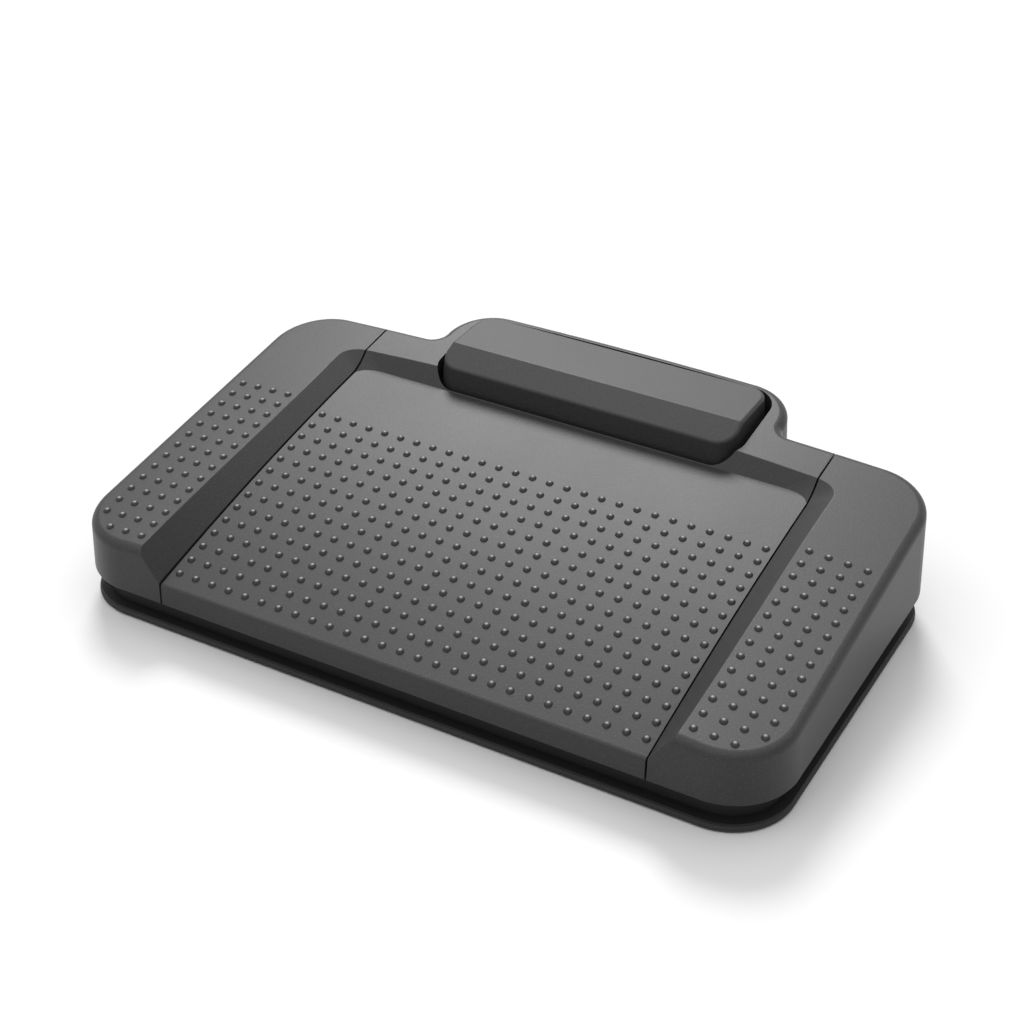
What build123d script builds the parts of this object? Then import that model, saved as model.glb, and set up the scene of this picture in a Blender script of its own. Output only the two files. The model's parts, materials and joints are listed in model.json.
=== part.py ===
from build123d import *
import math
import os

# Foot switch with three broad pedals and a raised bar.
# Millimetres and degrees. X runs to the right, Y to the back and Z up.
# The origin is on the floor, under the middle of the whole outline.

# The outline of the caps, at their bottom edge
body_width = 214.5
body_depth = 121.4
body_corner = 18.5
tongue_setback = 49.75
tongue_reach = 19.0
tongue_corner = 16.0
tongue_root = 2.8
wall_draft = 2.5

# The caps
cap_lift = 9.0
cap_wall = 2.4
cap_edge_round = 2.6
cap_foot_round = 0.8
pad_edge_round = 1.2
ridge_round = 0.45
top_front_height = 26.8
top_slope = 6.82
top_crown_radius = 1800.0
side_cap_width = 33.0
seam_gap = 0.6
seam_skirt = 2.0
seam_skirt_lift = 13.8

# The recess between the side pedals, floored by the centre pad
pad_front_height = 15.7
pad_rear_height = 34.0
rear_deck = 18.6
pad_arc_radius = 850.0
recess_wall_width = 6.75
recess_rear_slope = 50.0
recess_corner = 11.0

# The low round bumps
bump_pitch = 5.5
bump_diameter = 2.3
bump_height = 0.75
bump_first_row = 5.95
bump_side_margin = 2.0
bump_rear_margin = 24.0
side_bump_columns = 4
side_bump_setback = 9.4

# The pocket in the tongue and the bar in it
pocket_side_wall = 7.3
pocket_depth = 32.9
pocket_rear_wall = 4.5
pocket_corner = 8.0
pocket_skirt = 1.8
pocket_skirt_lift = 29.0
bar_side_gap = 1.0
bar_front_gap = 1.3
bar_rear_gap = 1.0
bar_corner = 7.0
bar_draft = 6.0
bar_lift = 31.0
bar_top_height = 44.4
bar_wall = 2.2
bar_ridge_setback = 26.7
bar_chamfer_slope = 24.0
bar_edge_round = 1.0

# The base under the caps
rubber_inset = 0.5
rubber_thickness = 2.0
rubber_round = 0.8
tray_inset = 0.9
tray_ledge = 0.7
tray_floor = 3.0
tray_wall_inset = 3.9
tray_wall = 2.0
tray_height = 9.8

# The pedal hinges
hinge_setback = 11.7
hinge_height = 30.0
hinge_pin_diameter = 4.0
hinge_running_gap = 0.05
hinge_ear = 3.0
hinge_ear_gap = 0.4
hinge_boss_depth = 8.0
side_hinge_inset = 21.25
side_hinge_width = 14.0
centre_hinge_inset = 11.75
centre_hinge_width = 8.0
hinge_foot_front = 11.0
hinge_screw_setback = 7.5
hinge_foot_thickness = 3.0

# The bar's stand and hinge
bar_hinge_setback = 12.7
bar_hinge_height = 37.5
bar_pin_diameter = 3.0
bar_upright_inset = 14.2
bar_upright_width = 6.0
bar_upright_depth = 6.6
bar_ear = 2.6
carrier_side_inset = 4.2
carrier_front_inset = 2.0
carrier_rear_inset = 2.9
carrier_thickness = 2.0
carrier_post_diameter = 10.0

# Springs, all alike
spring_wire = 0.9
spring_diameter = 8.0
spring_turns = 6.0
spring_length = 12.0
spring_seat_diameter = 12.0
spring_stud_diameter = 5.4
spring_stud_height = 3.0
side_spring_inset = 17.25
centre_spring_inset = 29.25
pedal_spring_row = 23.7
bar_spring_place = 20.0
bar_spring_setback = 28.7
bar_spring_top = 39.0

# Bump stops
stop_diameter = 9.0
stop_thickness = 5.0
side_stop_inset = 14.25
side_stop_row = 12.7
side_stop_height = 18.7
centre_stop_place = 32.0
centre_stop_row = 13.2
centre_stop_height = 11.2
bar_stop_place = 28.0
bar_stop_setback = 27.2
bar_stop_height = 36.6

# Hold-down hooks
hook_width = 8.0
hook_thickness = 3.0
hook_toe = 3.0
hook_toe_height = 2.0
hook_lift = 8.0
hook_gap = 0.3
hook_swing_gap = 1.3
catch_thickness = 2.2
catch_wall = 2.5
side_hook_inset = 15.25
centre_hook_inset = 32.25
hook_row = 51.7

# Magnets and the sensors under them
magnet_diameter = 5.0
magnet_height = 3.0
magnet_lift = 13.5
magnet_holder_diameter = 8.0
magnet_fit_gap = 0.02
side_magnet_inset = 21.25
sensor_setback = 51.7
bar_sensor_place = 10.0
bar_sensor_setback = 24.7
sensor_width = 4.1
sensor_depth = 3.0
sensor_height = 1.1

# Circuit board
board_end_gap = 12.25
board_front_setback = 60.7
board_depth = 18.0
board_thickness = 1.6
board_lift = 3.0
board_tongue_width = 16.0
board_tongue_setback = 17.7
board_corner = 2.0
chip_side = 10.0
chip_height = 1.4
chip_place = 32.0
crystal_length = 11.0
crystal_width = 4.6
crystal_height = 3.4
crystal_place = 46.0
capacitor_diameter = 5.0
capacitor_height = 2.2
capacitor_screw_gap = 16.0
capacitor_pitch = 8.0
header_length = 13.0
header_depth = 5.8
header_height = 3.0
header_place = -28.0
header_wall = 0.8
header_pins = 5
header_pin_side = 0.64
board_boss_diameter = 6.5
board_screw_inset = 21.0
board_screw_inner_place = 16.0
board_screw_margin = 4.0

# Ballast plate
ballast_width = 52.0
ballast_front = 14.0
ballast_rear_gap = 7.7
ballast_thickness = 4.0
ballast_corner = 3.0
ballast_screw_margin = 5.0

# Screws
screw_diameter = 2.9
screw_head_diameter = 5.4
screw_head_height = 1.2
screw_bite = 4.0
screw_slot_width = 0.9
screw_slot_depth = 0.6
screw_hole_gap = 0.2
screw_fit_gap = 0.01

# Cable inlet
gland_bore = 3.8
gland_width = 6.0
gland_flange_width = 8.4
gland_flange = 1.0
gland_fit_gap = 0.05
gland_height = 5.3
gland_sill = 0.7

# One overrun serves all cuts
overrun = 20.0

# Places that follow from the sizes above
overall_depth = body_depth + tongue_reach
front_y = -overall_depth / 2
rear_y = front_y + body_depth
tongue_rear_y = rear_y + tongue_reach
seam_x = body_width / 2 - side_cap_width
ridge_x = seam_x + recess_wall_width
pad_length = body_depth - rear_deck
bump_columns = 2 * int((seam_x - bump_side_margin) / bump_pitch) + 1
bump_rows = int((pad_length - bump_first_row - bump_rear_margin) / bump_pitch) + 1
tongue_width = body_width - 2 * tongue_setback
pocket_width = tongue_width - 2 * pocket_side_wall
pocket_rear = overall_depth - pocket_rear_wall
pocket_front = pocket_rear - pocket_depth
bar_ridge_place = overall_depth - bar_ridge_setback
bar_hinge_place = overall_depth - bar_hinge_setback
bar_upright_place = pocket_width / 2 - bar_upright_inset
bar_spring_row = overall_depth - bar_spring_setback
bar_stop_row = overall_depth - bar_stop_setback
bar_sensor_row = overall_depth - bar_sensor_setback
carrier_width = pocket_width - 2 * carrier_side_inset
carrier_front = pocket_front + carrier_front_inset
carrier_rear = pocket_rear - carrier_rear_inset
side_hinge_place = body_width / 2 - side_hinge_inset
side_spring_place = body_width / 2 - side_spring_inset
side_stop_place = body_width / 2 - side_stop_inset
side_hook_place = body_width / 2 - side_hook_inset
side_magnet_place = body_width / 2 - side_magnet_inset
centre_hinge_place = seam_x - centre_hinge_inset
centre_spring_place = seam_x - centre_spring_inset
centre_hook_place = seam_x - centre_hook_inset
sensor_row = overall_depth - sensor_setback
board_length = body_width - 2 * board_end_gap
board_front = overall_depth - board_front_setback
board_tongue_end = overall_depth - board_tongue_setback
board_screw_place = board_length / 2 - board_screw_inset
capacitor_place = capacitor_screw_gap - board_screw_place
ballast_depth = board_front - ballast_rear_gap - ballast_front
hinge_y = rear_y - hinge_setback
bar_hinge_y = front_y + bar_hinge_place
floor_top = rubber_thickness + tray_floor
draft_share = math.tan(math.radians(wall_draft))
ceiling = bar_top_height + overrun
back_limit = tongue_rear_y + overrun

pad_rear_y = front_y + pad_length
pad_chord = math.hypot(pad_length, pad_rear_height - pad_front_height)
pad_rise_angle = math.atan2(pad_rear_height - pad_front_height, pad_length)
pad_sagitta_arm = math.sqrt(pad_arc_radius**2 - (pad_chord / 2)**2)
pad_axis_y = (front_y + pad_rear_y) / 2 + pad_sagitta_arm * math.sin(pad_rise_angle)
pad_axis_z = (pad_front_height + pad_rear_height) / 2 - pad_sagitta_arm * math.cos(pad_rise_angle)


def pad_height(y):
    """Height of the centre pad at a place along Y."""
    return pad_axis_z + math.sqrt(pad_arc_radius**2 - (y - pad_axis_y)**2)


def top_height(x, y):
    """Height of the crowned top of the caps."""
    slope = math.radians(top_slope)
    crown_drop = top_crown_radius - math.sqrt(top_crown_radius**2 - x**2)
    return top_front_height + (y - front_y) * math.tan(slope) - crown_drop / math.cos(slope)


def block(x0, x1, y0, y1, z0, z1):
    """A box between two corners."""
    middle = Pos((x0 + x1) / 2, (y0 + y1) / 2, (z0 + z1) / 2)
    return middle * Box(abs(x1 - x0), abs(y1 - y0), abs(z1 - z0))


def post(x, y, diameter, z0, z1):
    """An upright round post."""
    return Pos(x, y, (z0 + z1) / 2) * Cylinder(diameter / 2, z1 - z0)


def cross_pin(x, y, z, diameter, length):
    """A round pin along X."""
    return Pos(x, y, z) * Rot(0, 90, 0) * Cylinder(diameter / 2, length)


def rounded(x0, x1, y0, y1, front_radius, rear_radius):
    """A rectangle with its front and rear corners rounded."""
    face = Pos((x0 + x1) / 2, (y0 + y1) / 2) * Rectangle(x1 - x0, y1 - y0)
    corners = face.vertices().group_by(Axis.Y)
    face = fillet(corners[0], front_radius)
    corners = face.vertices().group_by(Axis.Y)
    return fillet(corners[-1], rear_radius)


def body_outline(inset):
    """The outline with its rear tongue, drawn in by an inset."""
    half = body_width / 2 - inset
    radius = body_corner - inset
    main = rounded(-half, half, front_y + inset, rear_y - inset, radius, radius)
    half_tongue = tongue_width / 2 - inset
    middle_y = (front_y + rear_y) / 2
    tongue = Pos(0, (middle_y + tongue_rear_y - inset) / 2)
    tongue *= Rectangle(2 * half_tongue, tongue_rear_y - inset - middle_y)
    face = main + tongue
    tips = face.vertices().group_by(Axis.Y)[-1]
    face = fillet(tips, tongue_corner - inset)
    roots = [v for v in face.vertices()
             if abs(v.Y - (rear_y - inset)) < tongue_root / 4 and abs(abs(v.X) - half_tongue) < tongue_root / 4]
    return fillet(roots, tongue_root + inset)


def body_prism(inset, z0, z1):
    """The outline raised between two heights, drawn in by the draft as it rises."""
    low = body_outline(inset + (z0 - cap_lift) * draft_share)
    high = body_outline(inset + (z1 - cap_lift) * draft_share)
    return loft([Pos(0, 0, z0) * low, Pos(0, 0, z1) * high], ruled=True)


def straight_prism(inset, z0, z1):
    """The outline raised without draft."""
    return extrude(Pos(0, 0, z0) * body_outline(inset), z1 - z0)


def crown(depth):
    """The space under the crowned top, a depth below it."""
    slope = math.radians(top_slope)
    axis_y = front_y + top_crown_radius * math.sin(slope)
    axis_z = top_front_height - top_crown_radius * math.cos(slope)
    drum = Cylinder(top_crown_radius - depth, 4 * body_depth)
    return Pos(0, axis_y, axis_z) * Rot(top_slope - 90, 0, 0) * drum


def recess_section(y, grow):
    """The recess across at a place along Y: its walls run from the seam up to a straight ridge."""
    run = ridge_x - seam_x
    rise = top_height(ridge_x, y) - pad_height(y)
    low = pad_height(y) - overrun
    half_low = seam_x + grow * math.hypot(run, rise) / rise - overrun * run / rise
    half_high = half_low + (ceiling - low) * run / rise
    points = [(-half_low, low), (half_low, low), (half_high, ceiling), (-half_high, ceiling)]
    return Pos(0, y, 0) * (Plane.XZ * make_face(Polyline(*points, close=True)))


def recess(grow):
    """The tray-shaped space over the centre pad, grown by a wall when the caps are hollowed."""
    half = body_width
    inner = pad_arc_radius - grow
    outer = pad_arc_radius + bar_top_height
    points = [(-half, inner), (half, inner), (half, outer), (-half, outer)]
    profile = Plane.XZ * make_face(Polyline(*points, close=True))
    back_angle = math.degrees(math.asin((pad_axis_y - tongue_rear_y) / pad_arc_radius))
    front_angle = math.degrees(math.asin((pad_axis_y - front_y + overrun) / pad_arc_radius))
    start = Pos(0, pad_axis_y, pad_axis_z) * Rot(back_angle, 0, 0) * profile
    tray = revolve(start, Axis((0, pad_axis_y, pad_axis_z), (1, 0, 0)), front_angle - back_angle)
    places = [front_y - overrun, front_y, (front_y + pad_rear_y) / 2, pad_rear_y, tongue_rear_y]
    tray = tray & loft([recess_section(y, grow) for y in places])
    reach = 2 * body_depth
    rear_shift = grow / math.sin(math.radians(recess_rear_slope))
    slab = Pos(0, pad_rear_y + rear_shift, pad_rear_height) * Rot(recess_rear_slope - 90, 0, 0)
    slab *= Box(2 * body_width, reach, 2 * reach, align=(Align.CENTER, Align.MAX, Align.CENTER))
    tray = tray & slab
    rear_face = max(tray.faces(), key=lambda face: face.center().Y)
    sides = [edge for edge in rear_face.edges() if seam_x - grow < abs(edge.center().X) < half - overrun]
    return fillet(sides, recess_corner + grow)


def edges_near(shape, test):
    """The edges whose sampled points all pass a test."""
    return [edge for edge in shape.edges() if all(test(edge @ share) for share in (0.1, 0.5, 0.9))]


def on_top(point):
    """Whether a point lies on the crowned top."""
    return abs(point.Z - top_height(point.X, point.Y)) < ridge_round / 2


def on_ridge(point):
    """Whether a point lies on the upper rim of the recess."""
    inside = abs(point.X) < ridge_x + recess_corner and point.Y < pad_rear_y + recess_corner
    return on_top(point) and inside and point.Y > front_y + 2 * cap_edge_round


def cap_block():
    """All three caps as one solid, before the seams are cut."""
    body = body_prism(0, cap_lift, ceiling) & crown(0)
    body = fillet(edges_near(body, on_top), cap_edge_round)
    foot = edges_near(body, lambda point: abs(point.Z - cap_lift) < ridge_round)
    body = fillet(foot, cap_foot_round)
    body -= recess(0)
    front_line = edges_near(body, lambda point: abs(point.Z - pad_height(point.Y)) < ridge_round / 2
                            and point.Y < front_y + cap_edge_round)
    body = fillet(front_line, pad_edge_round)
    return fillet(edges_near(body, on_ridge), ridge_round)


def cap_cavity(gap_side):
    """The hollow under the caps: a whole low part, and a high part kept clear of the seams."""
    low = body_prism(cap_wall, cap_lift - overrun, seam_skirt_lift)
    high = (body_prism(cap_wall, cap_lift, ceiling) & crown(cap_wall)) - recess(cap_wall)
    return low, high & gap_side


def dome_radius():
    """The radius of the ball that a bump is the tip of."""
    half = bump_diameter / 2
    return (half**2 + bump_height**2) / (2 * bump_height)


def bump(x, y, surface_height):
    """One bump: a ball that stands out of the surface by the bump's height."""
    return Pos(x, y, surface_height + bump_height - dome_radius()) * Sphere(dome_radius())


def centre_bumps():
    """The square field of bumps on the centre pad."""
    first_x = -bump_pitch * (bump_columns - 1) / 2
    bumps = []
    for row in range(bump_rows):
        y = front_y + bump_first_row + row * bump_pitch
        for column in range(bump_columns):
            bumps.append(bump(first_x + column * bump_pitch, y, pad_height(y)))
    return bumps


def side_bumps(side):
    """The field on a side pedal, with none at its rounded outer corner."""
    bumps = []
    for row in range(bump_rows):
        y = front_y + bump_first_row + row * bump_pitch
        for column in range(side_bump_columns):
            if row == 0 and column == side_bump_columns - 1:
                continue
            x = side * (seam_x + side_bump_setback + column * bump_pitch)
            bumps.append(bump(x, y, top_height(x, y)))
    return bumps


def hinge_ears(x, width):
    """The two ears of a cap that stand beside a hinge bracket."""
    inner = width / 2 + hinge_ear_gap
    low = hinge_height - hinge_boss_depth / 2
    front = hinge_y - hinge_boss_depth / 2
    back = hinge_y + hinge_boss_depth / 2
    left = block(x - inner - hinge_ear, x - inner, front, back, low, ceiling)
    right = block(x + inner, x + inner + hinge_ear, front, back, low, ceiling)
    return left + right


def pin_length(width):
    """A hinge pin runs from the outside of one ear to the outside of the other."""
    return width + 2 * hinge_ear_gap + 2 * hinge_ear


def ear_hole(x, width):
    """The hole for the pin through both ears."""
    return cross_pin(x, hinge_y, hinge_height, hinge_pin_diameter, pin_length(width) + hinge_ear_gap)


def spring_seat(x):
    """The boss under a cap that a return spring pushes on."""
    return post(x, front_y + pedal_spring_row, spring_seat_diameter, floor_top + spring_length, ceiling)


def hook_leg(x):
    """A leg with a toe that catches under the tray's catch."""
    front = front_y + hook_row
    leg = block(x - hook_width / 2, x + hook_width / 2, front, front + hook_thickness, hook_lift, ceiling)
    toe_end = front + hook_thickness + hook_swing_gap + hook_toe
    toe = block(x - hook_width / 2, x + hook_width / 2, front, toe_end, hook_lift, hook_lift + hook_toe_height)
    return leg + toe


def magnet_post(x, y):
    """The post that holds a magnet over its sensor."""
    return post(x, y, magnet_holder_diameter, magnet_lift, ceiling)


def magnet_pocket(x, y):
    """The blind hole for the magnet."""
    size = magnet_diameter + 2 * magnet_fit_gap
    return post(x, y, size, magnet_lift - overrun, magnet_lift + magnet_height)


def magnet(x, y):
    """A round magnet, flush with the end of its post."""
    return post(x, y, magnet_diameter, magnet_lift, magnet_lift + magnet_height)


def side_cap(body, side):
    """A side pedal. The side is 1 on the right and -1 on the left."""
    edge = seam_x + seam_gap / 2
    keep = block(side * edge, side * (body_width / 2 + overrun), front_y - overrun, back_limit, 0, ceiling)
    inner = edge + seam_skirt
    clear = block(side * inner, side * (body_width / 2 + overrun), front_y - overrun, back_limit, 0, ceiling)
    outside = body & keep
    low, high = cap_cavity(clear)
    cap = outside - low - high
    features = hinge_ears(side * side_hinge_place, side_hinge_width)
    features += spring_seat(side * side_spring_place)
    features += hook_leg(side * side_hook_place)
    features += magnet_post(side * side_magnet_place, front_y + sensor_row)
    outside_low = outside + body_prism(cap_wall / 2, 0, cap_lift)
    cap += features & outside_low & crown(cap_wall / 2)
    cap -= ear_hole(side * side_hinge_place, side_hinge_width)
    cap -= magnet_pocket(side * side_magnet_place, front_y + sensor_row)
    return cap + side_bumps(side)


def pocket_shape(grow):
    """The plan of the bar's pocket."""
    half = pocket_width / 2 + grow
    radius = pocket_corner + grow
    return rounded(-half, half, front_y + pocket_front - grow, front_y + pocket_rear + grow, radius, radius)


def centre_cap(body):
    """The centre pedal: pad, rear deck and tongue in one shell, with the bar's pocket through it."""
    edge = seam_x - seam_gap / 2
    keep = block(-edge, edge, front_y - overrun, back_limit, 0, ceiling)
    inner = edge - seam_skirt
    clear = block(-inner, inner, front_y - overrun, back_limit, 0, ceiling)
    outside = body & keep
    low, high = cap_cavity(clear)
    skirt = extrude(Pos(0, 0, pocket_skirt_lift) * pocket_shape(pocket_skirt), ceiling)
    cap = outside - low - (high - skirt)
    features = hinge_ears(centre_hinge_place, centre_hinge_width) + hinge_ears(-centre_hinge_place, centre_hinge_width)
    for side in (-1, 1):
        features += spring_seat(side * centre_spring_place)
        features += hook_leg(side * centre_hook_place)
    features += magnet_post(0, front_y + sensor_row)
    outside_low = outside + body_prism(cap_wall / 2, 0, cap_lift)
    shade = recess(cap_wall / 2)
    cap += (features & outside_low & crown(cap_wall / 2)) - shade
    cap -= extrude(pocket_shape(0), ceiling)
    for side in (-1, 1):
        cap -= ear_hole(side * centre_hinge_place, centre_hinge_width)
    cap -= magnet_pocket(0, front_y + sensor_row)
    return cap + centre_bumps()


def bar_outline(inset):
    """The plan of the bar at its lower edge, drawn in by an inset."""
    half = pocket_width / 2 - bar_side_gap - inset
    front = front_y + pocket_front + bar_front_gap + inset
    back = front_y + pocket_rear - bar_rear_gap - inset
    return rounded(-half, half, front, back, bar_corner - inset, bar_corner - inset)


def bar_prism(inset, z0, z1):
    """The bar's plan raised with its draft."""
    share = math.tan(math.radians(bar_draft))
    low = bar_outline(inset + (z0 - bar_lift) * share)
    high = bar_outline(inset + (z1 - bar_lift) * share)
    return loft([Pos(0, 0, z0) * low, Pos(0, 0, z1) * high], ruled=True)


def under_chamfer(depth):
    """The space behind and below the bar's sloped front face."""
    place = Pos(0, front_y + bar_ridge_place, bar_top_height) * Rot(bar_chamfer_slope, 0, 0)
    reach = 2 * body_depth
    slab = Box(body_width, reach, reach, align=(Align.CENTER, Align.CENTER, Align.MAX))
    return place * Pos(0, 0, -depth) * slab


def chamfer_height(y):
    """Height of the bar's sloped front face at a place along Y."""
    run = y - front_y - bar_ridge_place
    return bar_top_height + run * math.tan(math.radians(bar_chamfer_slope))


def on_bar_ridge(point):
    """Whether a point lies on the line between the bar's top and its sloped face."""
    near = abs(point.Y - front_y - bar_ridge_place) < ridge_round / 4
    return near and abs(point.Z - bar_top_height) < ridge_round / 4


def on_bar_rim(point):
    """Whether a point lies on the rim of the bar's top or of its sloped face."""
    surface = min(bar_top_height, chamfer_height(point.Y))
    return abs(point.Z - surface) < ridge_round / 4 and not on_bar_ridge(point)


def bar_ears(x):
    """The two ears of the bar beside one upright of its stand."""
    inner = bar_upright_width / 2 + hinge_ear_gap
    front = bar_hinge_y - bar_upright_depth / 2
    back = bar_hinge_y + bar_upright_depth / 2
    low = bar_hinge_height - bar_upright_depth / 2
    left = block(x - inner - bar_ear, x - inner, front, back, low, ceiling)
    right = block(x + inner, x + inner + bar_ear, front, back, low, ceiling)
    return left + right


def bar_pin_length():
    """A bar pin runs from ear to ear."""
    return bar_upright_width + 2 * hinge_ear_gap + 2 * bar_ear


def function_bar():
    """The raised bar: a drafted shell with a sloped front face."""
    outside = bar_prism(0, bar_lift, bar_top_height) & under_chamfer(0)
    outside = fillet(edges_near(outside, on_bar_rim), bar_edge_round)
    outside = fillet(edges_near(outside, on_bar_ridge), ridge_round)
    inside = bar_prism(bar_wall, bar_lift - overrun, bar_top_height - bar_wall) & under_chamfer(bar_wall)
    shell = outside - inside
    row = front_y + bar_spring_row
    features = bar_ears(bar_upright_place) + bar_ears(-bar_upright_place)
    features += post(-bar_spring_place, row, spring_diameter, bar_spring_top, ceiling)
    features += post(bar_sensor_place, front_y + bar_sensor_row, magnet_holder_diameter, magnet_lift, ceiling)
    column = block(-body_width, body_width, front_y, back_limit, 0, bar_lift)
    shell += features & (outside + column) & under_chamfer(bar_wall / 2)
    for side in (-1, 1):
        shell -= cross_pin(side * bar_upright_place, bar_hinge_y, bar_hinge_height, bar_pin_diameter,
                           bar_pin_length() + overrun / 10)
    return shell - magnet_pocket(bar_sensor_place, front_y + bar_sensor_row)


def bar_spring_base():
    """Height of the stand's post under the bar's spring."""
    return bar_spring_top - spring_length


def rubber_base():
    """The non-slip rubber sole, whose rounded edge shows as the lip at the floor."""
    sole = straight_prism(rubber_inset, 0, rubber_thickness)
    rims = edges_near(sole, lambda point: min(abs(point.Z), abs(point.Z - rubber_thickness)) < ridge_round)
    return fillet(rims, rubber_round)


def screw_spots():
    """Places on the floor of the tray that take a screw from below."""
    spots = []
    front = hinge_y - hinge_screw_setback
    for side in (-1, 1):
        spots.append((side * side_hinge_place - side_hinge_width / 4, front))
        spots.append((side * side_hinge_place + side_hinge_width / 4, front))
        spots.append((side * centre_hinge_place, front))
        spots.append((side * centre_hinge_place, hinge_y))
    return spots


def carrier_spots():
    """The four screws that hold the bar's stand."""
    x = carrier_width / 2 - screw_head_diameter
    front = front_y + carrier_front + screw_head_diameter
    back = front_y + carrier_rear - screw_head_diameter
    return [(-x, front), (x, front), (-x, back), (x, back)]


def screw(x, y, head_z, up):
    """A round-headed screw. Up is 1 where it points up from below and -1 where it points down."""
    head_end = head_z + up * screw_head_height
    head = post(x, y, screw_head_diameter, min(head_z, head_end), max(head_z, head_end))
    tip = head_end + up * screw_bite
    shank = post(x, y, screw_diameter, min(head_end, tip), max(head_end, tip))
    slot_z = sorted((head_z - up * overrun, head_z + up * screw_slot_depth))
    half = screw_slot_width / 2
    slots = block(x - half, x + half, y - screw_diameter / 2, y + screw_diameter / 2, *slot_z)
    slots += block(x - screw_diameter / 2, x + screw_diameter / 2, y - half, y + half, *slot_z)
    return (head + shank) - slots


def floor_recess(x, y):
    """The sunk hole in the tray's floor for a screw from below."""
    sink = screw_head_height + screw_hole_gap
    wide = post(x, y, screw_head_diameter + 2 * screw_hole_gap, rubber_thickness - overrun, rubber_thickness + sink)
    return wide + post(x, y, screw_diameter + 2 * screw_hole_gap, 0, floor_top + hinge_ear_gap)


def stud(x, y):
    """The stud that keeps a spring in its place."""
    return post(x, y, spring_stud_diameter, rubber_thickness + tray_floor / 2, floor_top + spring_stud_height)


def catch(x):
    """The tray's catch over the toe of a hook."""
    toe_end = front_y + hook_row + hook_thickness + hook_swing_gap + hook_toe
    wall_front = toe_end + hook_swing_gap
    low = hook_lift + hook_toe_height + hook_gap
    half = hook_width / 2 + hook_gap
    wall = block(x - half, x + half, wall_front, wall_front + catch_wall, rubber_thickness, low + catch_thickness)
    reach = block(x - half, x + half, toe_end - hook_toe, wall_front + catch_wall, low, low + catch_thickness)
    return wall + reach


def board_spots():
    """The four screws of the circuit board."""
    back = front_y + board_front + board_depth - board_screw_margin
    spots = []
    for x in (-board_screw_place, -board_screw_inner_place, board_screw_inner_place, board_screw_place):
        spots.append((x, back))
    return spots


def ballast_spots():
    """The four screws of the ballast plate."""
    x = ballast_width / 2 - ballast_screw_margin
    front = front_y + ballast_front + ballast_screw_margin
    back = front_y + ballast_front + ballast_depth - ballast_screw_margin
    return [(-x, front), (x, front), (-x, back), (x, back)]


def gland_slot():
    """The slot in the tray's rear wall for the cable inlet."""
    low = rubber_thickness + tray_ledge + gland_sill
    wall_y = tongue_rear_y - tray_wall_inset
    inner_y = wall_y - tray_wall
    slot = block(-gland_width / 2, gland_width / 2, inner_y - gland_flange, wall_y + gland_flange, low, ceiling)
    half = gland_flange_width / 2 + gland_fit_gap
    return slot + block(-half, half, inner_y - gland_flange - gland_fit_gap, inner_y, low, ceiling)


def base_tray():
    """The black tray: a thin ledge on the rubber sole, a low wall, and everything moulded on its floor."""
    tray = straight_prism(tray_inset, rubber_thickness, rubber_thickness + tray_ledge)
    tray += straight_prism(tray_wall_inset, rubber_thickness, tray_height)
    tray -= straight_prism(tray_wall_inset + tray_wall, floor_top, ceiling)
    row = front_y + pedal_spring_row
    for side in (-1, 1):
        tray += stud(side * side_spring_place, row)
        tray += stud(side * centre_spring_place, row)
        tray += catch(side * side_hook_place)
        tray += catch(side * centre_hook_place)
        stop_top = side_stop_height - stop_thickness
        stop_row = front_y + side_stop_row
        tray += post(side * side_stop_place, stop_row, stop_diameter, rubber_thickness, stop_top)
        stop_top = centre_stop_height - stop_thickness
        stop_row = front_y + centre_stop_row
        tray += post(side * centre_stop_place, stop_row, stop_diameter, rubber_thickness, stop_top)
    for x, y in board_spots():
        tray += post(x, y, board_boss_diameter, rubber_thickness, floor_top + board_lift)
        tray -= post(x, y, screw_diameter + 2 * screw_fit_gap, floor_top - screw_fit_gap, ceiling)
    for x, y in ballast_spots():
        tray -= post(x, y, screw_diameter + 2 * screw_fit_gap, floor_top - tray_floor / 2, ceiling)
    for x, y in screw_spots() + carrier_spots():
        tray -= floor_recess(x, y)
    return tray - gland_slot()


def hinge_bracket(x, width):
    """A bracket that stands on the tray and carries a pedal's hinge pin."""
    half = width / 2
    depth_half = hinge_boss_depth / 2
    foot = block(x - half, x + half, hinge_y - hinge_foot_front, hinge_y + depth_half, floor_top,
                 floor_top + hinge_foot_thickness)
    upright = block(x - half, x + half, hinge_y - depth_half, hinge_y + depth_half, floor_top, hinge_height)
    boss = cross_pin(x, hinge_y, hinge_height, hinge_boss_depth, width)
    bracket = foot + upright + boss
    bracket -= cross_pin(x, hinge_y, hinge_height, hinge_pin_diameter + 2 * hinge_running_gap, width + overrun)
    for spot_x, spot_y in screw_spots():
        if abs(spot_x - x) < half:
            top = rubber_thickness + 2 * screw_head_height + screw_bite
            bracket -= post(spot_x, spot_y, screw_diameter + 2 * screw_fit_gap, 0, top)
    return bracket


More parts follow.
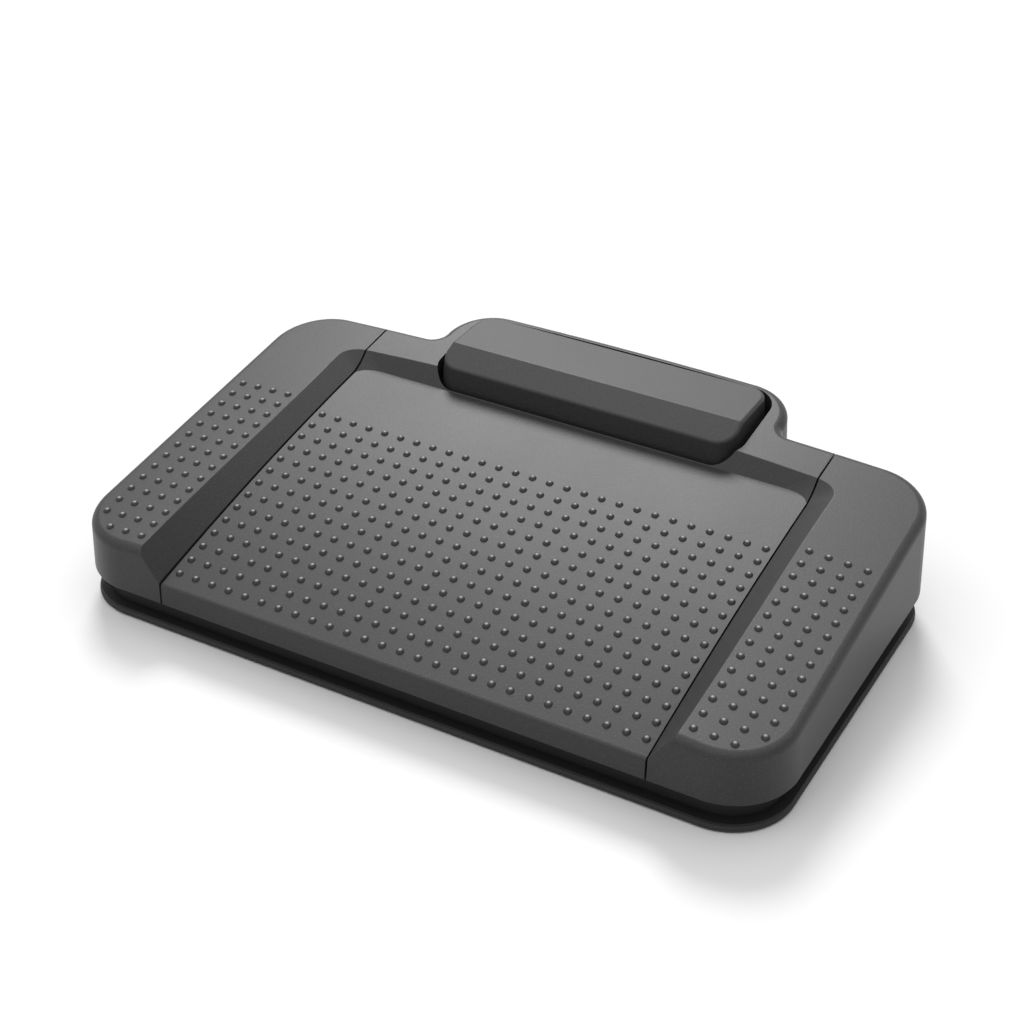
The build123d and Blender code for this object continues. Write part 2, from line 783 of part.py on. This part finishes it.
def bar_carrier():
    """The stand of the bar: a plate with two uprights and a post for the spring."""
    half = carrier_width / 2
    top = floor_top + carrier_thickness
    stand = block(-half, half, front_y + carrier_front, front_y + carrier_rear, floor_top, top)
    front = bar_hinge_y - bar_upright_depth / 2
    back = bar_hinge_y + bar_upright_depth / 2
    for side in (-1, 1):
        x = side * bar_upright_place
        stand += block(x - bar_upright_width / 2, x + bar_upright_width / 2, front, back, floor_top, bar_hinge_height)
        stand += cross_pin(x, bar_hinge_y, bar_hinge_height, bar_upright_depth, bar_upright_width)
        stand -= cross_pin(x, bar_hinge_y, bar_hinge_height, bar_pin_diameter + 2 * hinge_running_gap,
                           bar_upright_width + overrun / 10)
    row = front_y + bar_spring_row
    stand += post(-bar_spring_place, row, carrier_post_diameter, floor_top, bar_spring_base())
    stand += post(-bar_spring_place, row, spring_stud_diameter, floor_top, bar_spring_base() + spring_stud_height)
    stop_base = bar_stop_height - stop_thickness
    stand += post(bar_stop_place, front_y + bar_stop_row, stop_diameter, floor_top, stop_base)
    for x, y in carrier_spots():
        stand -= post(x, y, screw_diameter + 2 * screw_fit_gap, 0, ceiling)
    return stand


def coil_spring(x, y, base):
    """A compression spring between two seats."""
    height = spring_length - spring_wire
    path = Helix(height / spring_turns, height, (spring_diameter - spring_wire) / 2)
    section = Plane(origin=path @ 0, z_dir=path % 0) * Circle(spring_wire / 2)
    return Pos(x, y, base + spring_wire / 2) * sweep(section, path=path)


def bump_stop(x, y, top):
    """A rubber stop with a rounded top."""
    stop = post(x, y, stop_diameter, top - stop_thickness, top)
    return fillet(stop.edges().group_by(Axis.Z)[-1], rubber_round)


def board_outline():
    """The T-shaped plan of the circuit board."""
    front = front_y + board_front
    strip = rounded(-board_length / 2, board_length / 2, front, front + board_depth, board_corner, board_corner)
    middle = bar_sensor_place
    half = board_tongue_width / 2
    tail = Pos(middle, (front + front_y + board_tongue_end) / 2)
    tail *= Rectangle(2 * half, board_tongue_end - board_front)
    return strip + tail


def board_top():
    """Height of the board's upper face."""
    return floor_top + board_lift + board_thickness


def circuit_board():
    """The board that lies over the tray's floor."""
    board = extrude(Pos(0, 0, floor_top + board_lift) * board_outline(), board_thickness)
    for x, y in board_spots():
        board -= post(x, y, screw_diameter + 2 * screw_hole_gap, 0, ceiling)
    return board


def on_board(x, y, width, depth, height):
    """A flat block that lies on the board."""
    top = board_top()
    return block(x - width / 2, x + width / 2, y - depth / 2, y + depth / 2, top, top + height)


def hall_sensors():
    """A sensor under each of the four magnets."""
    row = front_y + sensor_row
    sensors = [on_board(x, row, sensor_width, sensor_depth, sensor_height)
               for x in (-side_magnet_place, 0, side_magnet_place)]
    sensors.append(on_board(bar_sensor_place, front_y + bar_sensor_row, sensor_width, sensor_depth, sensor_height))
    return sensors


def cable_header():
    """The plug-in header of the cord's leads, with its pins."""
    y = front_y + sensor_row
    shell = on_board(header_place, y, header_length, header_depth, header_height)
    inner_length = header_length - 2 * header_wall
    inner_depth = header_depth - 2 * header_wall
    z0 = board_top() + header_wall
    shell -= block(header_place - inner_length / 2, header_place + inner_length / 2, y - inner_depth / 2,
                   y + inner_depth / 2, z0, ceiling)
    pitch = inner_length / header_pins
    for number in range(header_pins):
        x = header_place + (number - (header_pins - 1) / 2) * pitch
        half = header_pin_side / 2
        shell += block(x - half, x + half, y - half, y + half, board_top(), board_top() + header_height - header_wall / 2)
    return shell


def cable_gland():
    """The rubber inlet of the cord, with a flange on each side of the tray's wall."""
    low = rubber_thickness + tray_ledge + gland_sill
    high = low + gland_height
    wall_y = tongue_rear_y - tray_wall_inset
    neck_half = gland_width / 2 - gland_fit_gap
    neck = block(-neck_half, neck_half, wall_y - tray_wall - gland_flange, wall_y + gland_flange, low, high)
    flange_half = gland_flange_width / 2
    outer = block(-flange_half, flange_half, wall_y + gland_fit_gap, wall_y + gland_flange, low, high)
    inner_y = wall_y - tray_wall
    inner = block(-flange_half, flange_half, inner_y - gland_flange, inner_y - gland_fit_gap, low, high)
    gland = neck + outer + inner
    hole = Pos(0, wall_y, (low + high) / 2) * Rot(90, 0, 0) * Cylinder(gland_bore / 2, overrun)
    return gland - hole


def ballast_plate():
    """The steel plate that keeps the pedal from sliding."""
    half = ballast_width / 2
    front = front_y + ballast_front
    face = rounded(-half, half, front, front + ballast_depth, ballast_corner, ballast_corner)
    plate = extrude(Pos(0, 0, floor_top) * face, ballast_thickness)
    for x, y in ballast_spots():
        plate -= post(x, y, screw_diameter + 2 * screw_hole_gap, 0, ceiling)
    return plate


def group(solids):
    """Separate solids that share one node."""
    return Compound(children=[solid for piece in solids for solid in piece.solids()])


def save(name, shape):
    """Write one node."""
    export_step(shape, os.path.join("parts", name + ".step"))


def save_caps():
    """The three pedal caps."""
    body = cap_block()
    save("left_pedal", side_cap(body, -1))
    save("right_pedal", side_cap(body, 1))
    save("centre_pedal", centre_cap(body))


def save_hinges():
    """Brackets and pins of the three pedals and of the bar."""
    names = {-1: "left", 1: "right"}
    for side, name in names.items():
        x = side * side_hinge_place
        save(name + "_hinge_bracket", hinge_bracket(x, side_hinge_width))
        pin = cross_pin(x, hinge_y, hinge_height, hinge_pin_diameter, pin_length(side_hinge_width))
        save(name + "_hinge_pin", pin)
        x = side * centre_hinge_place
        save("centre_hinge_bracket_" + name, hinge_bracket(x, centre_hinge_width))
        pin = cross_pin(x, hinge_y, hinge_height, hinge_pin_diameter, pin_length(centre_hinge_width))
        save("centre_hinge_pin_" + name, pin)
        x = side * bar_upright_place
        pin = cross_pin(x, bar_hinge_y, bar_hinge_height, bar_pin_diameter, bar_pin_length())
        save("bar_hinge_pin_" + name, pin)


def save_springs_and_stops():
    """Return springs and rubber stops."""
    row = front_y + pedal_spring_row
    save("left_spring", coil_spring(-side_spring_place, row, floor_top))
    save("right_spring", coil_spring(side_spring_place, row, floor_top))
    save("centre_spring_left", coil_spring(-centre_spring_place, row, floor_top))
    save("centre_spring_right", coil_spring(centre_spring_place, row, floor_top))
    save("bar_spring", coil_spring(-bar_spring_place, front_y + bar_spring_row, bar_spring_base()))
    stops = [bump_stop(side * side_stop_place, front_y + side_stop_row, side_stop_height) for side in (-1, 1)]
    save("side_bump_stops", group(stops))
    stops = [bump_stop(side * centre_stop_place, front_y + centre_stop_row, centre_stop_height) for side in (-1, 1)]
    save("centre_bump_stops", group(stops))
    save("bar_bump_stop", bump_stop(bar_stop_place, front_y + bar_stop_row, bar_stop_height))


def save_electronics():
    """The board and what is on it, and the magnets over it."""
    row = front_y + sensor_row
    save("circuit_board", circuit_board())
    save("controller_chip", on_board(chip_place, row, chip_side, chip_side, chip_height))
    save("crystal", on_board(crystal_place, row, crystal_length, crystal_width, crystal_height))
    save("hall_sensors", group(hall_sensors()))
    save("cable_header", cable_header())
    top = board_top()
    capacitors = []
    for step in (-1, 0, 1):
        x = capacitor_place + step * capacitor_pitch
        capacitors.append(post(x, row, capacitor_diameter, top, top + capacitor_height))
    save("capacitors", group(capacitors))
    save("board_screws", group([screw(x, y, top + screw_head_height, -1) for x, y in board_spots()]))
    save("left_magnet", magnet(-side_magnet_place, row))
    save("right_magnet", magnet(side_magnet_place, row))
    save("centre_magnet", magnet(0, row))
    save("bar_magnet", magnet(bar_sensor_place, front_y + bar_sensor_row))


def save_base():
    """Everything that stays on the floor."""
    save("rubber_base", rubber_base())
    save("base_tray", base_tray())
    save("ballast_plate", ballast_plate())
    head = floor_top + ballast_thickness + screw_head_height
    save("ballast_screws", group([screw(x, y, head, -1) for x, y in ballast_spots()]))
    low = rubber_thickness + screw_hole_gap
    save("hinge_bracket_screws", group([screw(x, y, low, 1) for x, y in screw_spots()]))
    save("bar_carrier_screws", group([screw(x, y, low, 1) for x, y in carrier_spots()]))
    save("bar_carrier", bar_carrier())
    save("cable_gland", cable_gland())
    save("function_bar", function_bar())


def main():
    """Write every node."""
    os.makedirs("parts", exist_ok=True)
    save_base()
    save_hinges()
    save_springs_and_stops()
    save_electronics()
    save_caps()


if __name__ == "__main__":
    main()
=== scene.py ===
# %% [markdown]
# # A foot control in dark moulded plastic
#
# The object is a low pedal for the floor. Three broad caps and a raised bar sit over a black tray on a
# rubber sole. The caps are spark-eroded plastic: dark grey, matte, with a grain finer than sand.
#
# Its solids could be modelled here from cubes and bevels, but they come ready-made from a CAD program, in
# metres, each under its own name. So this lesson is about finish and light: how a dark grey thing can
# still show every edge.

# %% Load the frame
import json
import math

import bpy
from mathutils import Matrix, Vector


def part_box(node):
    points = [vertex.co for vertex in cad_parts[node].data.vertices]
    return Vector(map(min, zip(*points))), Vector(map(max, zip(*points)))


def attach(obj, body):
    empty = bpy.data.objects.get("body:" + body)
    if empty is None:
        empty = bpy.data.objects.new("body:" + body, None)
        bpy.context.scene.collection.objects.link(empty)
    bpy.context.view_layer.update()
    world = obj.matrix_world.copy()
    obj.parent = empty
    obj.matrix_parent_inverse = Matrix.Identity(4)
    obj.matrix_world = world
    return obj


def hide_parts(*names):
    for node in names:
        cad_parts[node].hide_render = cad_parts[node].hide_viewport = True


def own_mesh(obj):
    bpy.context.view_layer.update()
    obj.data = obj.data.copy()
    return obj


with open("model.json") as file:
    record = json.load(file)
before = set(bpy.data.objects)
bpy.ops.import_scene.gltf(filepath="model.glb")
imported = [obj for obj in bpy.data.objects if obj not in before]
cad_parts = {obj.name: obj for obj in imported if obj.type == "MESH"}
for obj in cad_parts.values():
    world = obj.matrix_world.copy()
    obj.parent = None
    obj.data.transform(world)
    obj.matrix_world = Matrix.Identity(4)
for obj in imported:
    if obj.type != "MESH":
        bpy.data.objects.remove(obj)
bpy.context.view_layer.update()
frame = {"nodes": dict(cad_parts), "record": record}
nodes = frame["nodes"]

# %% [markdown]
# ## The camera
#
# The camera stands to the front right, a little under 60 centimetres away, and looks down at somewhat
# more than a third of a right angle. It could be aimed with a Track To constraint at an empty. Plain
# numbers were chosen, because they were solved from the rows of studs and need no target. The long lens
# keeps the far corner of the sole nearly as large as the near one.

# %% Camera
camera_place = (0.2258, -0.4066, 0.3345)
camera_tilt = 56.22
camera_turn = 29.33
lens_length = 69.6
film_width = 36.0
nearest = 0.01

camera_data = bpy.data.cameras.new("view")
camera_data.lens = lens_length
camera_data.sensor_width = film_width
camera_data.clip_start = nearest
camera = bpy.data.objects.new("view", camera_data)
camera.location = camera_place
camera.rotation_euler = (math.radians(camera_tilt), 0.0, math.radians(camera_turn))
bpy.context.collection.objects.link(camera)
bpy.context.scene.camera = camera
print("camera at", tuple(round(place, 3) for place in camera.location))

# %% [markdown]
# ## Shader maths as plain expressions
#
# A grain is a sum of noises. It could be built by adding Math nodes one by one and linking them, but then
# a row of six nodes hides one short formula. The class below wraps one output socket. Every operator adds
# the node that does the work and returns its output, wrapped again, so the formula can be written as
# `fine * 0.6 + coarse * 0.4` and read years later.

# %% A socket that can do arithmetic
class Wire:
    """One output socket, with operators that add Math nodes."""

    def __init__(self, tree, socket):
        self.tree = tree
        self.socket = socket

    def math(self, operation, *others, swap=False):
        node = self.tree.nodes.new("ShaderNodeMath")
        node.operation = operation
        parts = [self, *others]
        if swap:
            parts.reverse()
        for slot, part in zip(node.inputs, parts):
            if isinstance(part, Wire):
                self.tree.links.new(part.socket, slot)
            else:
                slot.default_value = part
        return Wire(self.tree, node.outputs[0])

    def __add__(self, other):
        return self.math("ADD", other)

    def __radd__(self, other):
        return self.math("ADD", other)

    def __sub__(self, other):
        return self.math("SUBTRACT", other)

    def __rsub__(self, other):
        return self.math("SUBTRACT", other, swap=True)

    def __mul__(self, other):
        return self.math("MULTIPLY", other)

    def __truediv__(self, other):
        return self.math("DIVIDE", other)

    def __lt__(self, other):
        return self.math("LESS_THAN", other)

    def __gt__(self, other):
        return self.math("GREATER_THAN", other)

    def fraction(self):
        return self.math("FRACT")

    def size(self):
        return self.math("ABSOLUTE")


# %% [markdown]
# ## A material and its nodes
#
# Every piece here is one Principled shader whose colour, roughness and normal come from a few textures.
# The nodes could be copied from material to material. A class that owns the tree was chosen instead: its
# method `node` makes any node from its type and the values of its sockets, and the others are short names
# for the nodes that every finish needs. Textures read Object coordinates, which follow the piece when it
# moves and need no unwrapping.
#
# The Mix node keeps a set of sockets for each type. The four numbers are the places of its colour ones.

# %% A material and its nodes
mix_share = 0
mix_first = 6
mix_second = 7
mix_colour = 2


class Paint:
    """A node material that starts with one Principled shader."""

    def __init__(self, name, **constants):
        self.material = bpy.data.materials.new(name)
        self.material.use_nodes = True
        self.tree = self.material.node_tree
        self.shader = self.tree.nodes["Principled BSDF"]
        self.set(self.shader, constants)
        place = self.tree.nodes.new("ShaderNodeTexCoord")
        self.place = Wire(self.tree, place.outputs["Object"])

    def set(self, node, values):
        for name, value in values.items():
            slot = node.inputs[name.replace("_", " ")]
            if isinstance(value, Wire):
                self.tree.links.new(value.socket, slot)
            else:
                slot.default_value = value

    def node(self, kind, output, **values):
        node = self.tree.nodes.new("ShaderNode" + kind)
        self.set(node, values)
        return Wire(self.tree, node.outputs[output])

    def noise(self, scale, detail=2.0, roughness=0.5):
        return self.node("TexNoise", output="Fac", Vector=self.place, Scale=scale, Detail=detail,
                         Roughness=roughness)

    def cells(self, scale):
        return self.node("TexVoronoi", output="Distance", Vector=self.place, Scale=scale)

    def axes(self):
        node = self.tree.nodes.new("ShaderNodeSeparateXYZ")
        self.tree.links.new(self.place.socket, node.inputs[0])
        return [Wire(self.tree, output) for output in node.outputs]

    def blend(self, share, first, second):
        node = self.tree.nodes.new("ShaderNodeMix")
        node.data_type = "RGBA"
        for place, value in ((mix_share, share), (mix_first, first), (mix_second, second)):
            slot = node.inputs[place]
            if isinstance(value, Wire):
                self.tree.links.new(value.socket, slot)
            elif slot.type == "RGBA":
                slot.default_value = (*value, 1.0)
            else:
                slot.default_value = value
        return Wire(self.tree, node.outputs[mix_colour])

    def relief(self, height, strength, distance):
        bump = self.node("Bump", output="Normal", Height=height, Strength=strength, Distance=distance)
        self.set(self.shader, {"Normal": bump})

    def finish(self, **values):
        self.set(self.shader, values)
        return self.material


# %% [markdown]
# ## Four small helpers
#
# Plastics are greys, roughness runs between two levels, and a grain is one texture weighed against
# another. These could be written out each time. As functions they say what the numbers mean. The last
# one puts a finish on whole nodes through their material slots, which leaves the meshes alone.

# %% Helpers
def grey(level):
    """A neutral colour."""
    return (level, level, level)


def between(share, least, most):
    """From least to most as the share goes from 0 to 1."""
    return least + share * (most - least)


def weigh(first, share, second):
    """The sum of two values, of which the first has the share and the second the rest."""
    return first * share + second * (1.0 - share)


def dress(material, *names):
    """Give one finish to whole nodes."""
    for name in names:
        slots = nodes[name].material_slots
        for slot in slots:
            slot.material = material
    print(material.name, "on", len(names), "nodes")


# %% [markdown]
# ## The caps' moulded grain
#
# The mould was etched, so the plastic comes out with tiny rounded pits that scatter light. Up close the
# surface sparkles a little, and from a step away it only looks soft. The pits could be real dents in the
# mesh, but there are millions of them. A bump is enough at this size. A fine noise makes the pits, about
# half a millimetre across, cells add a pale speck here and there, and a wide noise gives the slow change
# that any moulding has.
#
# Each stud tip gets a painted highlight: a pale spot in the colour stands in for the glint of light on
# the dome. The roughness there is lowered too, as on a tip that shoes have rubbed smooth. The tips could
# be faces with a material of their own. A mask was chosen, because the spot should have no hard rim. The
# studs stand on a square lattice, 5.5 millimetres apart, so a fraction of the place along each axis tells
# how far a point is from the nearest stud's middle. The other values say where the studs end, so that the
# walls, the seams and the bare front corners get no painted highlight.

# %% Cap plastic
stud_pitch = 0.0055
first_row = -0.06425
field_front = -0.0665
field_rear = 0.0098
side_shift = 0.00115
wall_inside = 0.0742
wall_outside = 0.0812
field_side = 0.1025
bare_corner = (0.097, -0.0615)
tip_share = 0.115
speck_radius = 0.35
deep_grey = grey(0.022)
# painted highlight: the pale grey put on each stud tip in place of its glint
soft_grey = grey(0.041)
speck_grey = grey(0.07)
painted_highlight_grey = grey(0.32)
slow_rough = 0.05
tip_polish = 0.1


def tip_highlight_and_polish(paint):
    """One at the middle of each stud tip's painted highlight, falling to zero at its rim and everywhere
    else.
    """
    across, along, _ = paint.axes()
    side = across.size()
    on_side = side > wall_outside
    column = ((side - on_side * side_shift) / stud_pitch + 0.5).fraction() - 0.5
    row = ((along - first_row) / stud_pitch + 0.5).fraction() - 0.5
    distance = (column * column + row * row) / (tip_share * tip_share)
    near = (1.0 - distance).math("MAXIMUM", 0.0)
    lengthwise = (along > field_front) * (along < field_rear)
    crosswise = (side < wall_inside) + on_side * (side < field_side)
    bare = (side > bare_corner[0]) * (along < bare_corner[1])
    return near * lengthwise * crosswise * (1.0 - bare)


def make_cap_plastic():
    paint = Paint("cap_plastic", IOR=1.5, Specular_IOR_Level=0.25)
    pits = paint.noise(scale=2100.0, detail=3.0, roughness=0.6)
    spark = paint.cells(scale=1700.0)
    slow = paint.noise(scale=28.0)
    grain = weigh(pits, 0.65, spark)
    paint.relief(grain, strength=0.22, distance=0.00015)
    plain = paint.blend(weigh(grain, 0.75, slow), deep_grey, soft_grey)
    specks = (speck_radius - spark).math("MAXIMUM", 0.0) / speck_radius
    speckled = paint.blend(specks, plain, speck_grey)
    highlight_and_polish = tip_highlight_and_polish(paint)
    # the stud tips get a painted highlight in the colour, and their roughness is lowered on the next line
    colour = paint.blend(highlight_and_polish, speckled, painted_highlight_grey)
    rough = between(pits, 0.32, 0.42) + slow * slow_rough - highlight_and_polish * tip_polish
    return paint.finish(Base_Color=colour, Roughness=rough)


dress(make_cap_plastic(), "left_pedal", "centre_pedal", "right_pedal", "function_bar")

# %% [markdown]
# ## The tray
#
# Under the caps the tray is plain black plastic that nobody is meant to notice. It could share the caps'
# material, but then the dark band under them would turn grey and the caps would lose their lower edge.
# So it is nearly black and a bit rougher, with only a faint grain.

# %% Tray plastic
def make_tray_plastic():
    paint = Paint("tray_plastic", IOR=1.48, Specular_IOR_Level=0.3)
    pits = paint.noise(scale=1500.0)
    paint.relief(pits, strength=0.2, distance=0.0001)
    colour = paint.blend(pits, grey(0.008), grey(0.014))
    return paint.finish(Base_Color=colour, Roughness=between(pits, 0.5, 0.65))


tray_parts = ["base_tray", "bar_carrier", "left_hinge_bracket", "right_hinge_bracket"]
tray_parts += ["centre_hinge_bracket_left", "centre_hinge_bracket_right"]
dress(make_tray_plastic(), *tray_parts)


# %% [markdown]
# ## Rubber
#
# The sole, the bump stops and the inlet for the cord are rubber: a shade lighter than the tray, duller,
# and a little dusty where it is handled. Rubber could be done with a sheen layer. A high roughness with
# a slow smear in it was chosen, because from above only the thin lip shows and it has to stay quiet.

# %% Rubber
def make_rubber():
    paint = Paint("rubber", IOR=1.5, Specular_IOR_Level=0.32)
    pores = paint.noise(scale=1100.0, detail=3.0, roughness=0.65)
    smear = paint.noise(scale=60.0)
    paint.relief(pores, strength=0.35, distance=0.00015)
    colour = paint.blend(weigh(smear, 0.6, pores), grey(0.018), grey(0.034))
    return paint.finish(Base_Color=colour, Roughness=between(smear, 0.62, 0.82))


rubber_parts = ["rubber_base", "side_bump_stops", "centre_bump_stops", "bar_bump_stop", "cable_gland"]
dress(make_rubber(), *rubber_parts)

# %% [markdown]
# ## Plated steel inside
#
# The pins, the screws and the ballast are zinc-plated steel, which has a faint milky cloud over a bright
# metal. They are hidden at rest, and only someone who takes the pedal apart sees them. They could be
# left plain for that reason, but a model that is opened should be finished inside too. The cloud is a
# noise that changes both the colour and the roughness.

# %% Plated steel
def make_steel():
    paint = Paint("steel", Metallic=1.0)
    cloud = paint.noise(scale=240.0, detail=4.0, roughness=0.6)
    lines = paint.node("TexNoise", output="Fac", Vector=paint.place, Scale=900.0, Distortion=1.5)
    paint.relief(lines, strength=0.12, distance=0.00005)
    colour = paint.blend(cloud, (0.46, 0.46, 0.47), (0.68, 0.68, 0.7))
    return paint.finish(Base_Color=colour, Roughness=between(cloud, 0.26, 0.46))


steel_parts = ["left_hinge_pin", "right_hinge_pin", "centre_hinge_pin_left", "centre_hinge_pin_right"]
steel_parts += ["bar_hinge_pin_left", "bar_hinge_pin_right", "ballast_plate", "ballast_screws"]
steel_parts += ["hinge_bracket_screws", "bar_carrier_screws", "board_screws"]
dress(make_steel(), *steel_parts)


# %% [markdown]
# ## Spring wire
#
# The springs are drawn wire, darker than the plating and still oily. Lines along the wire would need
# coordinates that follow the coil. At under a millimetre thick a fine noise in the bump looks the same,
# so that was chosen, and a slower one gives the oil.

# %% Spring wire
def make_spring_wire():
    paint = Paint("spring_wire", Metallic=1.0)
    drawn = paint.noise(scale=2600.0)
    oil = paint.noise(scale=180.0)
    paint.relief(drawn, strength=0.2, distance=0.00003)
    colour = paint.blend(oil, (0.3, 0.3, 0.31), (0.5, 0.49, 0.48))
    return paint.finish(Base_Color=colour, Roughness=between(oil, 0.24, 0.42))


spring_parts = ["left_spring", "right_spring", "centre_spring_left", "centre_spring_right", "bar_spring"]
dress(make_spring_wire(), *spring_parts)


# %% [markdown]
# ## Nickel and aluminium
#
# The magnets and the crystal's can are nickel, the smoothest metal here, and the capacitors are drawn
# aluminium. Both are one recipe with two colours and two levels of roughness, so one function makes both
# rather than two that repeat each other.

# %% Nickel and aluminium
def make_bright_metal(name, dark, light, rough_least, rough_most):
    paint = Paint(name, Metallic=1.0)
    wear = paint.noise(scale=700.0, detail=3.0)
    paint.relief(wear, strength=0.08, distance=0.00003)
    colour = paint.blend(wear, dark, light)
    return paint.finish(Base_Color=colour, Roughness=between(wear, rough_least, rough_most))


nickel = make_bright_metal("nickel", (0.6, 0.59, 0.57), (0.75, 0.74, 0.72), 0.12, 0.24)
dress(nickel, "left_magnet", "right_magnet", "centre_magnet", "bar_magnet", "crystal")
can_metal = make_bright_metal("capacitor_can", (0.62, 0.63, 0.65), (0.78, 0.79, 0.8), 0.25, 0.37)
dress(can_metal, "capacitors")

# %% [markdown]
# ## The circuit board
#
# A board is glass cloth under green varnish, and copper tracks show through as paler lines. A picture of
# a circuit would do it, but it would need an image and a map. The tracks here are bands of a grid that a
# noise switches on and off, so they run straight, turn and stop the way real ones do.

# %% Circuit board
lanes_per_metre = 480.0
lane_share = 0.3
across_patch = 0.52
along_patch = 0.45


def make_board():
    paint = Paint("board", IOR=1.5)
    across, along, _ = paint.axes()
    lane_x = (across * lanes_per_metre).fraction() < lane_share
    lane_y = (along * lanes_per_metre).fraction() < lane_share
    patch = paint.noise(scale=90.0, detail=0.0)
    tracks = lane_x * (patch > across_patch) + lane_y * (patch < along_patch)
    weave = paint.noise(scale=1800.0, detail=1.0)
    varnish = paint.blend(weave, (0.008, 0.09, 0.032), (0.012, 0.12, 0.045))
    colour = paint.blend(tracks, varnish, (0.03, 0.2, 0.07))
    paint.relief(weigh(tracks, 0.8, weave), strength=0.3, distance=0.00004)
    return paint.finish(Base_Color=colour, Roughness=between(weave, 0.3, 0.4))


dress(make_board(), "circuit_board")

# %% [markdown]
# ## The parts on the board
#
# Chips, sensors and the header are cast in black epoxy, which is matte and full of tiny voids. It could
# be the tray's plastic again. It got its own finish, a little lighter and smoother, so that the parts
# stand out when the pedal is open.

# %% Component plastic
def make_component_plastic():
    paint = Paint("component_plastic", IOR=1.5)
    pits = paint.noise(scale=2600.0)
    paint.relief(pits, strength=0.25, distance=0.00005)
    colour = paint.blend(pits, grey(0.014), grey(0.03))
    return paint.finish(Base_Color=colour, Roughness=between(pits, 0.45, 0.6))


dress(make_component_plastic(), "controller_chip", "hall_sensors", "cable_header")

# %% [markdown]
# ## The springs
#
# A spring that stayed stiff would poke through the cap that presses it. It could be a curve with its
# points moved at each pose, but one script has to look right at every pose. Here each spring is drawn by
# a copy of its own coil, fixed to the base, while the CAD spring is hidden. The copy keeps its length as
# its hinge turns. How much of it would be left at the limit follows from the hinge's angle and the
# spring's distance from the hinge line, and is printed.

# %% Springs
spring_joints = {
    "left_spring": "left_pedal_hinge",
    "centre_spring_left": "centre_pedal_hinge",
    "centre_spring_right": "centre_pedal_hinge",
    "right_spring": "right_pedal_hinge",
    "bar_spring": "function_bar_hinge",
}
joints = {joint["name"]: joint for joint in frame["record"]["behaviour"]["joints"]}
for spring, hinge in spring_joints.items():
    bottom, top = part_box(spring)
    limit = math.radians(joints[hinge]["range_deg"][1])
    travel = (joints[hinge]["pos_m"][1] - bottom[1]) * math.sin(limit)
    coil = bpy.data.objects.new(spring + "_coil", nodes[spring].data.copy())
    bpy.context.collection.objects.link(coil)
    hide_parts(spring)
    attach(coil, "base")
    left_over = 1.0 - travel / (top[2] - bottom[2])
    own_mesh(coil)
    print(spring, "keeps", round(left_over, 3))

# %% [markdown]
# ## Floor
#
# The pedal lies on a large white sheet. A shadow catcher could stand in for it. A real sheet was chosen,
# because it also sends light back up under the front edge, which is what parts the black tray from the
# dark sole. It lies a hair lower than the sole, so the two never share a face.

# %% Floor
def make_floor():
    paint = Paint("floor_white", IOR=1.3)
    paper = paint.noise(scale=60.0)
    colour = paint.blend(paper, grey(0.93), grey(0.94))
    return paint.finish(Base_Color=colour, Roughness=0.9)


reach = 6.0
floor_drop = 0.0002
floor_mesh = bpy.data.meshes.new("floor")
corners = [(-reach, -reach, 0.0), (reach, -reach, 0.0), (reach, reach, 0.0), (-reach, reach, 0.0)]
floor_mesh.from_pydata(corners, [], [(0, 1, 2, 3)])
floor = bpy.data.objects.new("floor", floor_mesh)
floor.location.z = -floor_drop
floor_mesh.materials.append(make_floor())
bpy.context.collection.objects.link(floor)
print("floor", 2 * reach, "m wide")

# %% [markdown]
# ## Light
#
# A soft window stands behind and to the left, where its mirror image lies on the studded pad. Matte
# plastic spreads that image into the broad sheen that fades towards the front. A ceiling as wide as the
# room lights all the tops, and a weak fill from the front left keeps the walls that face the viewer from
# going black. Area lamps would do too, but a sun's light is the same everywhere, so a colour comes out
# about as it is written wherever it is. The room itself lights at a quarter, but the camera and the
# reflections see it white.

# %% Lamps and room
def soft_sun(name, direction, strength, angle):
    lamp = bpy.data.lights.new(name, "SUN")
    lamp.energy = strength
    lamp.angle = math.radians(angle)
    holder = bpy.data.objects.new(name, lamp)
    aim = -Vector(direction)
    holder.rotation_euler = aim.to_track_quat("-Z", "Y").to_euler()
    bpy.context.collection.objects.link(holder)
    print(name, "strength", strength, "angle", angle)


soft_sun("window", (-0.39, 0.61, 0.69), 1.6, 20.0)
soft_sun("ceiling", (0.0, 0.05, 1.0), 1.35, 90.0)
soft_sun("front_fill", (-0.42, -0.62, 0.66), 0.45, 60.0)

room_level = 0.25
white_light = (1.0, 1.0, 1.0, 1.0)
world = bpy.data.worlds.new("room")
bpy.context.scene.world = world
world.use_nodes = True
room = world.node_tree
background = room.nodes["Background"]
rays = room.nodes.new("ShaderNodeLightPath")
seen = Wire(room, rays.outputs["Is Camera Ray"])
mirrored = Wire(room, rays.outputs["Is Glossy Ray"])
through = Wire(room, rays.outputs["Is Transmission Ray"])
white = seen.math("MAXIMUM", mirrored).math("MAXIMUM", through)
level = white * (1.0 - room_level) + room_level
room.links.new(level.socket, background.inputs["Strength"])
background.inputs["Color"].default_value = white_light
bpy.context.scene.view_settings.view_transform = "Standard"
print("room lights at", room_level)
